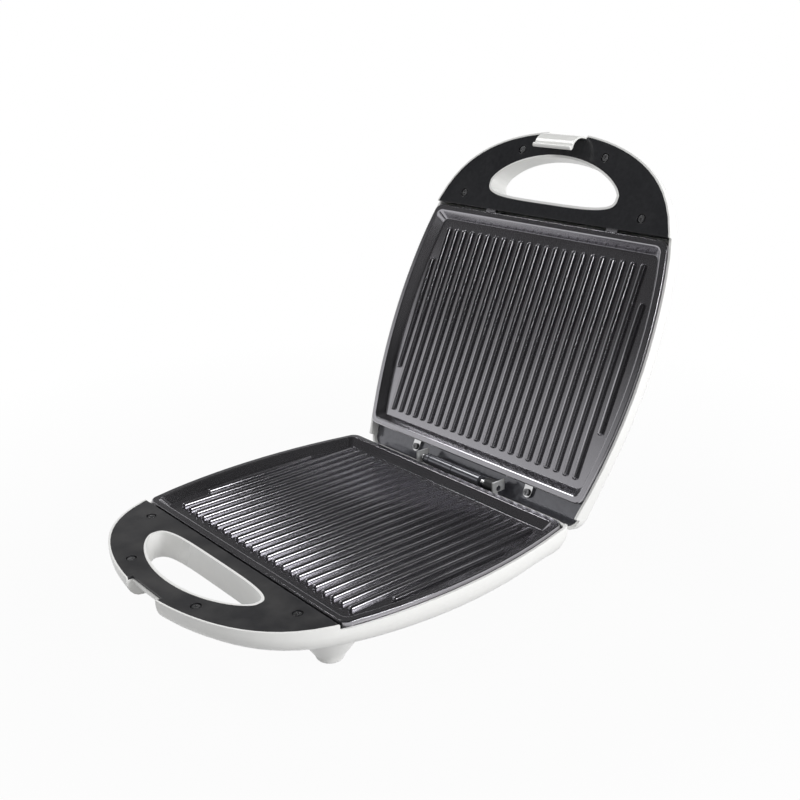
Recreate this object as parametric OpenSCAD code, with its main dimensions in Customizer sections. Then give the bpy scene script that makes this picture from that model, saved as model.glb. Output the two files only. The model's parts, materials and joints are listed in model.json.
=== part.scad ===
// Sandwich toaster with two ribbed plates, a hinged lid and a clip latch.
// Both halves are drawn in one half frame: x to the right, reach (-y) towards the handle,
// depth (+z) away from the parting plane. The lower half is that frame turned over in z,
// the lid is the same frame swung open about the hinge pin.

/* [Housings] */
// Width of both housings at their widest place
body_w = 300; // [285:1:320]
// Distance from the hinge axis to the front of the handle
body_reach = 313.6; // [308:0.2:322]
// Distance from the hinge axis to the widest place of the sides
widest_reach = 129.4; // [110:0.2:150]
// Radius of the gently bowed sides
side_r = 478; // [440:2:700]
// Exponent that sets how late the front curve leaves the sides
nose_late = 7.06; // [6:0.02:8]
// Exponent that sets how full the front curve closes
nose_full = 1.85; // [1.7:0.01:2]
// Wall thickness of the housings
wall = 2.4; // [2:0.1:2.8]
// Depth of the lower housing under the parting plane
base_depth = 30; // [28:0.5:32]
// Depth of the lid over the parting plane
lid_depth = 27; // [26:0.5:32]
// Depth of the lower housing at the front of the handle
base_nose = 18; // [16:0.2:19]
// Depth of the lid at the front of the handle
lid_nose = 12.4; // [12:0.1:13.4]
// Depth at which the side wall of the lower housing begins
base_edge = 4.4; // [3:0.1:7]
// Depth at which the side wall of the lid begins
lid_edge = 3; // [2.8:0.1:8]
// Distance of the lower housing's rear wall behind the hinge axis
base_tail = 4; // [3.6:0.1:5]
// Distance of the lid's rear wall behind the hinge axis
lid_tail = 11; // [10.6:0.2:13]
// Corner radius of the lower housing at the rear
base_corner_r = 24; // [16:1:30]
// Corner radius of the lid at the rear
lid_corner_r = 14; // [10:1:20]

/* [Handle] */
// Length of the handle covers, back from the front of the handle
cover_l = 77.4; // [74:0.2:80]
// Thickness of the handle covers
cover_t = 2.4; // [1.8:0.1:3]
// Thickness of the white lip round the handle covers
lip = 1.5; // [1.2:0.1:1.8]
// Half width of the handle hole
hole_half_w = 72.8; // [66:0.2:76]
// Distance from the front of the handle to the widest place of the handle hole
hole_set = 50.6; // [49:0.2:52]
// Length of the handle hole in front of its widest place
hole_front = 27.5; // [24:0.5:28]
// Length of the handle hole behind its widest place
hole_back = 12.9; // [11:0.1:16]
// Thickness of the wall round the handle hole
hole_wall = 2.2; // [1.8:0.1:2.6]
// Places of the handle cover screws on the right half, as x and distance behind the front
cover_screws = [[103.8, 65.7], [47.9, 19]];

/* [Plates] */
// Gap between a plate's outline and the outline of its housing
plate_inset = 2.8; // [2.6:0.1:3.4]
// Gap between a plate's front edge and the handle cover
plate_gap = 2.8; // [2.4:0.1:4]
// Distance from the hinge axis to the plate's rear edge
plate_rear = 12; // [11:0.5:13]
// Corner radius of the plate
plate_corner_r = 8; // [6:0.5:10]
// Depth of the plate floor under the parting plane
floor_depth = 7.8; // [6.5:0.1:8.2]
// Thickness of the casting
plate_t = 3; // [2.6:0.1:3.2]
// Width of the flat rim
rim_w = 5; // [4:0.2:6]
// Length of the sloped wall between rim and floor, seen from above
slope_w = 6.4; // [4:0.2:8]
// Number of full ribs
rib_count = 23; // [19:2:23]
// Distance between rib centres
rib_pitch = 10.5; // [10:0.02:10.6]
// Width of a rib
rib_w = 4.5; // [3.6:0.1:5]
// Height of a rib over the floor
rib_h = 3.4; // [3:0.1:4.6]
// Distance of the full ribs' ends from the plate's rear and front edges
rib_ends = [17.5, 20.1];
// Distance of the short outer ribs' ends from the plate's rear and front edges
short_rib_ends = [58.2, 51.3];
// Half distance between the fixing lugs
lug_x = 71.7; // [62:0.5:80]
// Width of a fixing lug
lug_w = 9; // [8:0.5:10]

/* [Heaters] */
// Diameter of the tubular heaters
heater_d = 6.6; // [6:0.1:6.8]
// Half width of the heater loop
heater_half_w = 92; // [84:1:96]
// Distance of the heater loop's rear and front runs from the plate's rear and front edges
heater_ends = [50, 37.4];
// Bend radius of the heater
heater_bend_r = 24; // [18:1:30]
// Thickness of the reflector sheet
sheet_t = 0.6; // [0.5:0.1:0.8]

/* [Hinge] */
// Opening angle of the lid, where its rear wall meets the lower housing
open_angle = 115; // [105:0.5:116]
// Distance of the hinge axis below the parting plane
axis_drop = 2; // [1.5:0.1:2.2]
// Diameter of the hinge pin
pin_d = 5; // [4.6:0.1:5.4]
// Radial running clearance of the hinge pin
pin_gap = 0.05; // [0.03:0.01:0.08]
// Diameter of the hinge barrel
barrel_d = 10; // [9.4:0.1:10.2]
// Left and right ends of the hinge barrel
barrel_x = [-41, 28];
// Half distance between the bracket's ears
ear_x = 48; // [44:0.5:50]
// Thickness of the bracket's steel sheet
ear_t = 1.5; // [1.2:0.1:2]
// Diameter of the bush beside the right ear
bush_d = 12; // [11:0.2:13]

/* [Latch] */
// Half width of the latch
latch_half_w = 21.6; // [20:0.2:26]
// Distance from the front of the handle to the latch pin
latch_pin_set = 7; // [6.8:0.1:7.6]
// Radius of the latch's head round its pin
latch_r = 3.9; // [3.4:0.1:4]
// Diameter of the latch pin
latch_pin_d = 2.5; // [2:0.1:3]
// Thickness of the latch
latch_t = 1.8; // [1.6:0.1:2.6]
// Gap between the latch and the handle that it wraps round
latch_gap = 0.4; // [0.3:0.1:1]
// Gap between the latch and the ends of its recess
recess_gap = 0.5; // [0.4:0.1:1]

/* [Feet] */
// Height of the parting plane over the table
part_height = 48; // [46:0.2:56]
// Places of the feet on the right half, as x and reach
feet = [[103, 222], [92, 30]];
// Radius of a foot at the housing
foot_top_r = 22.3; // [18:0.1:25]
// Radius of a foot at the table
foot_r = 11; // [8:0.2:12]
// Height by which a rubber pad stands out of its foot
pad_out = 0.8; // [0.5:0.1:1.2]

/* [Hidden] */
$fn = 48;

white = "#e9e9e4";
charcoal = "#3c3d42";
near_black = "#2b2d2f";
plate_grey = "#4a4b4e";
steel = "#c4c6c8";
rubber = "#c9c9c4";

// outline of the housings
half_w = body_w / 2;
hole_reach = body_reach - hole_set;
hole_front_power = 1.47;
hole_back_power = 3.8;
cover_screw_places = [for (p = cover_screws) [p[0], body_reach - p[1]]];
side_steps = 6;
nose_steps = 18;
corner_steps = 5;

// body of the housings
cover_reach = body_reach - cover_l;
belly_end = cover_reach; // reach at which the belly starts to rise to the handle
nose_start = body_reach - 13.6;   // reach from which the handle has its least depth
base_rise = [60, 2];     // reach at which an underside starts to rise, and the power of the rise
lid_rise = [belly_end, 1];
tail_blend = 40;         // length over which the rear edge rounding widens
wall_drop = 8;           // depth at which the side rounding starts
tail_drop = 12;          // the same at the rear wall
nose_drop = 4;           // the same at the front of the handle
side_round = 20;         // width of the side rounding
tail_round = 16;         // the same at the rear wall
nose_round = 12;         // the same at the front of the handle
round_steps = 5;
belly_rings = [0.9, 0.8, 0.7, 0.6, 0.5];
over = 1;                // overshoot of a cut past a face
snug = 0.15;             // clearance of a cover in its seat
part_gap = 0.2;          // gap from the parting plane to each half's highest face
rest_gap = 0.05;         // gap from the parting plane to each white lip
face_gap = 0.1;          // gap between two faces that lie on each other
seat = cover_t + part_gap;

// fasteners
screw_r = 1.45;
pilot_r = 1.5;
head_r = 3;
head_h = 1.8;
boss_r = 3.8;
well_r = 4.2;
well_depth = 1.6;
sunk_head_h = 1.2;
cross_r = 1.7;
cross_w = 0.7;
cross_depth = 0.7;
boss_floor = 4;          // solid end of a lug screw's boss inside the outer wall
screw_end = 6.6;         // room between the end of a lug screw and the outer wall
cover_screw_l = 6;
pillar_screw_l = 5;
bracket_screw_l = 6;

// plate casting
rim_round = 0.8;
under_depth = floor_depth + plate_t;   // underside of the plate floor
wall_end = floor_depth + 1.7;          // lower end of the plate's outer wall
corner_loss = 0.2;                     // share by which a plate corner tightens inwards
plate_front = cover_reach - plate_gap;
rib_span = [plate_rear + rib_ends[0], plate_front - rib_ends[1]];
short_rib_span = [plate_rear + short_rib_ends[0], plate_front - short_rib_ends[1]];
lug_depth = 9;
lug_t = 2.4;
lug_hole_r = 2.1;
lug_reach = 5;
lug_root = 24;
tongue_w = 12;
tongue_end = plate_front + 6;
skirt_t = 1.8;
pillar_x = 104;
pillar_ends = [54, 35.4];              // distance of the pillars from the plate's rear and front edges
pillars = [[pillar_x, plate_rear + pillar_ends[0]], [pillar_x, plate_front - pillar_ends[1]]];
pillar_r = 3.6;

// strips behind the plates
strip_depth = lug_depth + lug_t + face_gap;
strip_t = 1.5;
strip_front = plate_rear + 4;

// heaters and reflectors
heater_r = heater_d / 2;
heater_span = [plate_rear + heater_ends[0], plate_front - heater_ends[1]];
heater_gap = 0.2;
heater_depth = under_depth + heater_gap + heater_r;
heater_end_x = 34;
heater_end_reach = 44;
terminal_r = 1.6;
terminal_l = 7;
wire_end = 22;
wire_r = 1.5;
sheet_gap = 0.6;
sheet_depth = heater_depth + heater_r + sheet_gap;
sheet_overlap = [6, 10];               // width of the reflector behind and in front of the heater loop
sheet_rear = heater_span[0] - sheet_overlap[0];
sheet_front = heater_span[1] + sheet_overlap[1];
sheet_half_w = 118;
sheet_corner_r = 16;

// hinge
axis_height = part_height - axis_drop;
ear_front = 6.5;
ear_rear = 7.5;
ear_top = 6.4;
ear_foot = 3.2;
leg_front = 5.8;
web_depth = 16;
web_span = [0.8, 9.5];
bracket_screw_x = 30;
groove_w = 1;
groove_depth = 0.6;
stub_gap = 8.5;
bush_gap = 0.7;
bush_l = ear_x - barrel_x[1] - stub_gap - bush_gap;
clip_t = 0.8;
clip_x = -44.5;
clip_groove_d = pin_d - 1;
clip_band = 2;
clip_mouth = 0.4;
notch_reach = 6;         // reach up to which the lower housing's rear is cut down
notch_depth = 10.5;
stop_gap = 0.3;

// depth at which the lid's rear wall begins, so that it meets the lower housing at the stop
stop_depth = (base_tail + stop_gap - lid_tail * cos(open_angle)) / sin(open_angle) - axis_drop;

// latch
head_gap = 0.3;
latch_pin_reach = body_reach - latch_pin_set;
latch_pin_depth = seat + head_gap + latch_r;
core_l = 10.3;           // length and depth of the round core that the latch wraps
core_depth = 12.4;
wrap_reach = latch_pin_reach + latch_r - core_l - latch_gap - latch_t;
wrap_outer = [core_l + latch_gap + latch_t, core_depth + latch_gap + latch_t];
recess_half_w = latch_half_w + recess_gap;
recess_top = 2 * lid_nose;
recess_rear = latch_pin_reach - latch_r - latch_gap;
tip_l = 2.2;             // straight end of the latch's wrap
tip_reach = wrap_reach - tip_l;
bead_r = 2;
tip_gap = 1.2;

function ease(t) = t <= 0 ? 0 : t >= 1 ? 1 : (1 - cos(180 * t)) / 2;
function mix(a, b, t) = a + (b - a) * t;
function mirrored(right) = concat(right, [for (i = [len(right) - 1:-1:0]) [-right[i][0], right[i][1]]]);
function power_curve(a, p) = pow(max(a, 0), 2 / p);

// half width of the bowed sides at a reach, and of the outline that closes round the front
function side_at(s, inset) = half_w - inset - pow(s - widest_reach, 2) / (2 * side_r);
function nose_at(s, inset) = let (u = max(s - widest_reach, 0) / (body_reach - inset - widest_reach))
    side_at(s, inset) * pow(max(1 - pow(u, nose_late), 0), 1 / nose_full);

// right half of an outline: rear corner, bowed side and front curve
function rear_corner(inset, rear, r) = let (x = side_at(rear + r, inset) - r)
    [for (i = [0:corner_steps]) let (a = 90 * i / corner_steps) [x + r * sin(a), rear + r - r * cos(a)]];
function bowed_side(inset, from, to) =
    [for (i = [1:side_steps]) let (s = mix(from, to, i / side_steps)) [side_at(s, inset), s]];
function nose_side(inset, to, steps) =
    [for (i = [1:steps]) let (s = mix(widest_reach, to, i / steps)) [nose_at(s, inset), s]];
function nose_curve(inset) = let (
    l = body_reach - inset - widest_reach, from = asin(pow(0.5, nose_late / 2)))
    [for (i = [1:nose_steps])
        let (s = widest_reach + l * power_curve(sin(mix(from, 90, i / (nose_steps + 0.5))), nose_late))
        [nose_at(s, inset), s]];
function half_outline(inset, rear, r) = concat(
    rear_corner(inset, rear, r), bowed_side(inset, rear + r, widest_reach),
    nose_side(inset, (widest_reach + body_reach - inset) / 2, side_steps), nose_curve(inset));
function outline(inset, rear, r) = mirrored(half_outline(inset, rear, r));

// outline of a plate: the housing's sides, cut off straight behind the handle cover
function front_corner(inset, front, r) = let (x = nose_at(front - r, inset) - r)
    [for (i = [0:corner_steps]) let (a = 90 * i / corner_steps) [x + r * cos(a), front - r + r * sin(a)]];
function plate_outline(inset) = let (d = plate_inset + inset, r = plate_corner_r - corner_loss * inset)
    mirrored(concat(
        rear_corner(d, plate_rear + inset, r),
        bowed_side(d, plate_rear + inset + r, widest_reach),
        nose_side(d, plate_front - inset - r - over, side_steps),
        front_corner(d, plate_front - inset, r)));

// outline of the handle hole: a squarer curve towards the plate, a pointed one towards the front
function hole_outline(grow) = [for (i = [0:59]) let (
    a = i * 6, back = sin(a) < 0,
    x = power_curve(abs(cos(a)), back ? hole_back_power : 2),
    s = power_curve(abs(sin(a)), back ? hole_back_power : hole_front_power))
    [sign(cos(a)) * (hole_half_w + grow) * x,
     hole_reach + (back ? -(hole_back + grow) : hole_front + grow) * s]];

// depth, start and width of the edge rounding at a reach
function nose_share(s) = ease((s - belly_end) / (nose_start - belly_end));
function tail_share(s) = 1 - ease(s / tail_blend);
function belly(s, depth, nose, rise, shrink) = let (t = (s - rise[0]) / (nose_start - rise[0]))
    mix(depth, nose, pow(min(max(t, 0), 1), rise[1])) - shrink;
function base_belly(s) = belly(s, base_depth, base_nose, base_rise, 0);
function drop_at(s) = mix(mix(wall_drop, nose_drop, nose_share(s)), tail_drop, tail_share(s));
function round_at(s) = mix(mix(side_round, nose_round, nose_share(s)), tail_round, tail_share(s));

module ring_solid(rings) {
    n = len(rings[0]);
    m = len(rings);
    points = [for (r = rings) for (p = r) p];
    sides = [for (j = [0:m - 2]) for (i = [0:n - 1]) let (k = (i + 1) % n)
        each [[j * n + i, j * n + k, (j + 1) * n + k], [j * n + i, (j + 1) * n + k, (j + 1) * n + i]]];
    bottom = [for (i = [n - 1:-1:0]) i];
    top = [for (i = [0:n - 1]) (m - 1) * n + i];
    polyhedron(points, concat([bottom], sides, [top]));
}

// swept closed frame: the outline at each [inset, depth] of a section
module ring_frame(rings) {
    n = len(rings[0]);
    m = len(rings);
    points = [for (r = rings) for (p = r) p];
    polyhedron(points, [for (j = [0:m - 1]) for (i = [0:n - 1]) let (k = (i + 1) % n, b = (j + 1) % m)
        each [[j * n + i, j * n + k, b * n + k], [j * n + i, b * n + k, b * n + i]]]);
}

function to_xyz(p, z) = [p[0], -p[1], z];

// the dished solid of a housing, whose walls run down, round over and join the belly
module dish(inset, depth, nose, rise, rear, r, top) {
    edge = outline(inset, rear + inset, r - inset);
    middle = (body_reach + rear) / 2;
    half_l = (body_reach - rear) / 2;
    function pulled(p, d) = [p[0] * (1 - d / half_w), middle + (p[1] - middle) * (1 - d / half_l)];
    function wall_ring(a) = [for (p = edge) let (
        q = pulled(p, (round_at(p[1]) - inset) * (1 - cos(a))),
        z = drop_at(p[1]), deep = belly(p[1], depth, nose, rise, inset))
        to_xyz(q, z + (deep - z) * sin(a))];
    function belly_ring(k) = [for (p = edge) let (
        q = pulled(p, round_at(p[1]) - inset), s = middle + (q[1] - middle) * k)
        to_xyz([q[0] * k, s], belly(s, depth, nose, rise, inset))];
    rings = concat(
        [[for (p = edge) to_xyz(p, top)]],
        [for (i = [0:round_steps]) wall_ring(90 * i / round_steps)],
        [for (k = belly_rings) belly_ring(k)]);
    ring_solid(rings);
}

module flat(points, from, to) {
    translate([0, 0, from])
    linear_extrude(to - from)
    polygon([for (p = points) [p[0], -p[1]]]);
}

module both_sides() {
    children();
    mirror([1, 0, 0])
    children();
}

module at(p, z) {
    translate([p[0], -p[1], z])
    children();
}

// box across both sides of x = 0 in the half frame
module span_box(half, reach, depth) {
    translate([-half, -reach[1], depth[0]])
    cube([2 * half, reach[1] - reach[0], depth[1] - depth[0]]);
}

module in_base() {
    translate([0, hinge_y, part_height])
    mirror([0, 0, 1])
    children();
}

module in_lid() {
    translate([0, hinge_y, axis_height])
    rotate([-open_angle, 0, 0])
    translate([0, 0, axis_drop])
    children();
}

// the origin lies on the table, under the middle of the open toaster's length
function lid_back(s, z) = -s * cos(open_angle) + (axis_drop + z) * sin(open_angle);
lid_reach_back = max([for (a = [0:3:90])
    lid_back(body_reach - nose_round * (1 - cos(a)), nose_drop + (lid_nose - nose_drop) * sin(a))]);
hinge_y = (body_reach - lid_reach_back) / 2;

// what both housings share: walls, handle hole, cover seat, bosses
module housing(depth, nose, rise, edge, tail, corner_r, boss_top) {
    difference() {
        union() {
            difference() {
                dish(0, depth, nose, rise, -tail, corner_r, rest_gap);
                dish(wall, depth, nose, rise, -tail, corner_r, -over);
            }
            intersection() {
                dish(0, depth, nose, rise, -tail, corner_r, rest_gap);
                union() {
                    flat(hole_outline(hole_wall), 0, depth);
                    both_sides()
                    housing_posts(depth, boss_top);
                    children();
                }
            }
        }
        flat(hole_outline(0), -over, depth + over);
        both_sides() {
            for (p = cover_screw_places) {
                at(p, -over)
                cylinder(r = pilot_r, h = nose - wall + over);
            }
            at([lug_x, lug_reach], -over)
            cylinder(r = pilot_r, h = depth - wall - boss_floor + over);
        }
        intersection() {
            flat(outline(lip, -tail, corner_r), -over, seat);
            difference() {
                span_box(half_w, [cover_reach, body_reach + over], [-over, seat + over]);
                flat(hole_outline(hole_wall), -2 * over, seat + 2 * over);
            }
        }
        span_box(half_w + over, [-tail - over, cover_reach], [-over, edge]);
    }
}

// posts of one side: cover screws, lug screws and the pads under the plate's tongues
module housing_posts(depth, boss_top) {
    for (p = cover_screw_places) {
        at(p, seat)
        cylinder(r = boss_r, h = depth - seat);
    }
    at([lug_x, lug_reach], boss_top)
    cylinder(r = boss_r, h = depth - boss_top);
    at([lug_x, tongue_end - boss_r], lug_depth + lug_t)
    cylinder(r = boss_r, h = depth - lug_depth - lug_t);
}

// the latch's recess wraps round the front lower edge of the lower handle
module wrap_cut() {
    translate([-recess_half_w, -wrap_reach, 0])
    rotate([90, 0, 90])
    linear_extrude(2 * recess_half_w)
    difference() {
        translate([-2 * wrap_outer[0], -over])
        square([2 * wrap_outer[0], 2 * core_depth]);
        ellipse(core_l, core_depth);
    }
    span_box(recess_half_w, [tip_reach - bead_r - tip_gap, wrap_reach + over],
        [core_depth, 2 * core_depth]);
}

module ellipse(a, b) {
    polygon([for (i = [0:2:358]) [a * cos(i), b * sin(i)]]);
}

module foot(p) {
    top = base_belly(p[1] + foot_top_r) - wall / 2;
    bottom = part_height - pad_out;
    flare = (foot_top_r - foot_r) / (bottom - base_depth + wall);
    top_r = foot_top_r + flare * (base_depth - wall - top);
    r = foot_round;
    arc = [for (a = [0:15:60]) [foot_r - r + r * cos(a), bottom - r + r * sin(a)]];
    at(p, 0)
    rotate_extrude()
    polygon(concat([[0, top], [top_r, top]], arc, [[foot_r - r, bottom], [0, bottom]]));
}

foot_round = 4.5;

module vents() {
    from = base_belly(vent_reach + vent_l / 2) - wall - over;
    for (i = [-3:3]) {
        translate([i * vent_pitch, -vent_reach, from])
        linear_extrude(base_depth - from + over)
        square([vent_w, vent_l], center = true);
    }
}

vent_reach = 150;
vent_l = 40;
vent_w = 3;
vent_pitch = 9;

module base_shell() {
    color(white)
    in_base()
    difference() {
        union() {
            housing(base_depth, base_nose, base_rise, base_edge, base_tail, base_corner_r,
                lug_depth + lug_t) {
                span_box(recess_half_w + wall, [hole_reach + hole_front, body_reach], [seat, base_depth]);
                both_sides()
                at([bracket_screw_x, bracket_reach], web_depth + ear_t)
                cylinder(r = boss_r, h = base_depth - web_depth - ear_t);
            }
            both_sides()
            for (p = feet) {
                foot(p);
            }
        }
        wrap_cut();
        flat(hole_outline(0), -over, base_depth + over);
        span_box(half_w, [-base_tail - over, notch_reach], [-over, notch_depth]);
        both_sides() {
            at([bracket_screw_x, bracket_reach], 0)
            cylinder(r = pilot_r, h = base_depth - wall);
            for (p = feet) {
                at(p, part_height - pad_out - pad_seat)
                cylinder(r = pad_r + snug, h = pad_seat + over);
            }
        }
        at(inlet, 0)
        cylinder(r = inlet_r + snug, h = base_depth + over);
        vents();
    }
}

pad_r = 5;
pad_seat = 1.6;
bracket_reach = (web_span[0] + web_span[1]) / 2;
inlet = [40, 32];
inlet_r = 5.5;
inlet_end = 3;
inlet_flange = 2;
inlet_collar = 1.6;
inlet_bore_r = 3.6;

module lid_shell() {
    color(white)
    in_lid()
    difference() {
        housing(lid_depth, lid_nose, lid_rise, lid_edge, lid_tail, lid_corner_r,
            strip_depth + strip_t) {
            span_box(recess_half_w + wall, [recess_rear - wall, body_reach], [0, lid_nose]);
        }
        span_box(recess_half_w, [recess_rear, body_reach + over], [-over, recess_top]);
        translate([-recess_half_w - wall - over, -latch_pin_reach, latch_pin_depth])
        rotate([0, 90, 0])
        cylinder(d = latch_pin_d, h = 2 * (recess_half_w + wall + over));
        span_box(half_w, [-lid_tail - over, 0], [-over, stop_depth]);
        both_sides()
        at([lamp_x, lamp_reach], lid_depth - wall - over)
        cylinder(r = lamp_r + snug, h = wall + 2 * over);
    }
}

lamp_x = 14;
lamp_reach = belly_end - 14;
lamp_r = 3;
lamp_flange_w = 1.2;
lamp_flange_h = 1.4;
lamp_out = 0.5;

module handle_cover(notch_reach) {
    difference() {
        union() {
            intersection() {
                flat(outline(lip + snug, 0, base_corner_r), part_gap, seat);
                span_box(half_w, [cover_reach, body_reach], [0, seat]);
            }
            span_box(nose_at(cover_reach + skirt_t, wall + snug) - over,
                [cover_reach, cover_reach + skirt_t], [part_gap, lug_depth - face_gap]);
        }
        flat(hole_outline(hole_wall + snug), -over, seat + over);
        both_sides()
        for (p = cover_screw_places) {
            at(p, -over)
            cylinder(r = lug_hole_r, h = seat + 2 * over);
            at(p, -over)
            cylinder(r = well_r, h = well_depth + part_gap + over);
        }
        span_box(recess_half_w, [notch_reach, body_reach], [-over, seat + over]);
    }
}

module base_handle_cover() {
    color(charcoal)
    in_base()
    handle_cover(wrap_reach + core_l - lip);
}

module lid_handle_cover() {
    color(near_black)
    in_lid()
    handle_cover(wrap_reach + core_l - snug);
}

module rib(x, span) {
    top = floor_depth - rib_h;
    r = rib_w / 2;
    from = -span[1] + r;
    length = span[1] - span[0] - rib_w;
    translate([x, from, top + r]) {
        translate([-r, 0, 0])
        cube([rib_w, length, rib_h - r + over]);
        rotate([-90, 0, 0])
        cylinder(r = r, h = length);
        for (y = [0, length]) {
            translate([0, y, 0]) {
                sphere(r = r);
                cylinder(r = r, h = rib_h - r + over);
            }
        }
    }
}

module plate() {
    inner = rim_w + slope_w + 2 * over;
    section = [
        [0, part_gap + rim_round], [0, wall_end], [plate_t - over, wall_end],
        [plate_t, wall_end - plate_t - over], [rim_w, wall_end - plate_t],
        [rim_w + slope_w - over, under_depth], [inner, under_depth], [inner, floor_depth],
        [rim_w + slope_w, floor_depth], [rim_w + rim_round, part_gap + rim_round / 2],
        [rim_w, part_gap], [rim_round, part_gap]
    ];
    difference() {
        union() {
            ring_frame([for (p = section) [for (q = plate_outline(p[0])) to_xyz(q, p[1])]]);
            flat(plate_outline(rim_w + slope_w + over), floor_depth, under_depth);
            for (i = [0:rib_count - 1]) {
                rib((i - (rib_count - 1) / 2) * rib_pitch, rib_span);
            }
            both_sides() {
                rib((rib_count + 1) / 2 * rib_pitch, short_rib_span);
                translate([lug_x - lug_w / 2, -lug_root, lug_depth])
                cube([lug_w, lug_root - lug_reach, lug_t]);
                at([lug_x, lug_reach], lug_depth)
                cylinder(d = lug_w, h = lug_t);
                translate([lug_x - tongue_w / 2, -tongue_end, lug_depth])
                cube([tongue_w, tongue_end - plate_front + lug_root - plate_rear, lug_t]);
                for (p = pillars) {
                    at(p, under_depth - over)
                    cylinder(r = pillar_r, h = sheet_depth - under_depth + over);
                }
            }
        }
        both_sides() {
            at([lug_x, lug_reach], 0)
            cylinder(r = lug_hole_r, h = lug_depth + lug_t + over);
            for (p = pillars) {
                at(p, under_depth + over)
                cylinder(r = pilot_r, h = sheet_depth);
            }
        }
    }
}

module lower_plate() {
    color(plate_grey)
    in_base()
    plate();
}

module upper_plate() {
    color(plate_grey)
    in_lid()
    plate();
}

// tube from one point to the next in the half frame's flat plane, with round bends
module run(a, b, r) {
    d = b - a;
    translate(a)
    rotate([0, 0, atan2(d[1], d[0])])
    rotate([0, 90, 0])
    cylinder(r = r, h = norm(d));
}

module bend(centre, from, bend_r, r) {
    translate(centre)
    rotate([0, 0, from])
    rotate_extrude(angle = 90)
    translate([bend_r, 0])
    circle(r = r);
}

module element() {
    b = heater_bend_r;
    x = heater_half_w;
    e = heater_end_x;
    rear = -heater_span[0];
    front = -heater_span[1];
    translate([0, 0, heater_depth]) {
        both_sides() {
            run([0, front, 0], [x - b, front, 0], heater_r);
            bend([x - b, front + b, 0], -90, b, heater_r);
            run([x, front + b, 0], [x, rear - b, 0], heater_r);
            bend([x - b, rear - b, 0], 0, b, heater_r);
            run([x - b, rear, 0], [e + heater_tail_r, rear, 0], heater_r);
            bend([e + heater_tail_r, rear + heater_tail_r, 0], 180, heater_tail_r, heater_r);
            run([e, rear + heater_tail_r, 0], [e, -heater_end_reach, 0], heater_r);
            run([e, -heater_end_reach, 0], [e, -heater_end_reach + terminal_l, 0], terminal_r);
        }
    }
}

heater_tail_r = 10;

module lower_element() {
    color(steel)
    in_base()
    element();
}

module upper_element() {
    color(steel)
    in_lid()
    element();
}

module rounded_box(half, reach, r, depth) {
    w = half - r;
    for (x = [-w, w], s = [reach[0] + r, reach[1] - r]) {
        at([x, s], depth[0])
        cylinder(r = r, h = depth[1] - depth[0]);
    }
    span_box(half, [reach[0] + r, reach[1] - r], depth);
    span_box(w, reach, depth);
}

module reflector() {
    rise = 3;
    difference() {
        rounded_box(sheet_half_w, [sheet_rear, sheet_front], sheet_corner_r,
            [sheet_depth - rise, sheet_depth + sheet_t]);
        rounded_box(sheet_half_w - sheet_t, [sheet_rear + sheet_t, sheet_front - sheet_t],
            sheet_corner_r - sheet_t, [sheet_depth - rise - over, sheet_depth]);
        both_sides() {
            for (p = pillars) {
                at(p, 0)
                cylinder(r = pilot_r + snug, h = sheet_depth + 2 * over);
            }
            at([heater_end_x, sheet_rear], sheet_depth - rise - over)
            cylinder(r = heater_r + sheet_gap, h = rise + over);
        }
        at([0, window_reach], 0)
        cylinder(r = window_r, h = sheet_depth + 2 * over);
    }
}

window_reach = 120;
window_r = 12;

module lower_reflector() {
    color(steel)
    in_base()
    reflector();
}

module upper_reflector() {
    color(steel)
    in_lid()
    reflector();
}

// cross-head screw whose head rests at depth 0 and whose shank runs to +length
module screw(length, head = head_h) {
    difference() {
        union() {
            translate([0, 0, -head])
            cylinder(r = head_r, h = head);
            cylinder(r = screw_r, h = length);
        }
        for (a = [0, 90]) {
            rotate([0, 0, a])
            translate([-cross_r, -cross_w / 2, -head - over])
            cube([2 * cross_r, cross_w, cross_depth + over]);
        }
    }
}

module cover_screw_set() {
    both_sides()
    for (p = cover_screw_places) {
        at(p, part_gap + well_depth)
        screw(cover_screw_l, sunk_head_h);
    }
}

module lug_screw_set(length) {
    both_sides()
    at([lug_x, lug_reach], lug_depth)
    screw(length);
}

module reflector_screw_set() {
    both_sides()
    for (p = pillars) {
        at(p, sheet_depth + sheet_t)
        mirror([0, 0, 1])
        screw(pillar_screw_l);
    }
}

module base_cover_screws() {
    color(steel)
    in_base()
    cover_screw_set();
}

module lid_cover_screws() {
    color(steel)
    in_lid()
    cover_screw_set();
}

module base_plate_screws() {
    color(steel)
    in_base()
    lug_screw_set(base_depth - wall - lug_depth - screw_end);
}

module lid_plate_screws() {
    color(steel)
    in_lid()
    lug_screw_set(lid_depth - wall - lug_depth - screw_end);
}

module lower_reflector_screws() {
    color(steel)
    in_base()
    reflector_screw_set();
}

module upper_reflector_screws() {
    color(steel)
    in_lid()
    reflector_screw_set();
}

// strip between a plate and the rear wall of its housing
module rear_strip(tail, corner_r) {
    intersection() {
        flat(outline(wall + snug, -tail + wall + snug, corner_r - wall),
            strip_depth, strip_depth + strip_t);
        span_box(half_w, [-tail, strip_front], [0, 2 * strip_depth]);
    }
}

module base_rear_cover() {
    color(charcoal)
    in_base()
    difference() {
        rear_strip(base_tail, base_corner_r);
        both_sides() {
            at([lug_x, lug_reach], 0)
            cylinder(r = boss_r + snug, h = 2 * strip_depth);
            translate([ear_x - snug, -leg_front - snug, 0])
            cube([ear_t + 2 * snug, leg_front - web_span[0] + 2 * snug, 2 * strip_depth]);
        }
    }
}

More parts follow.
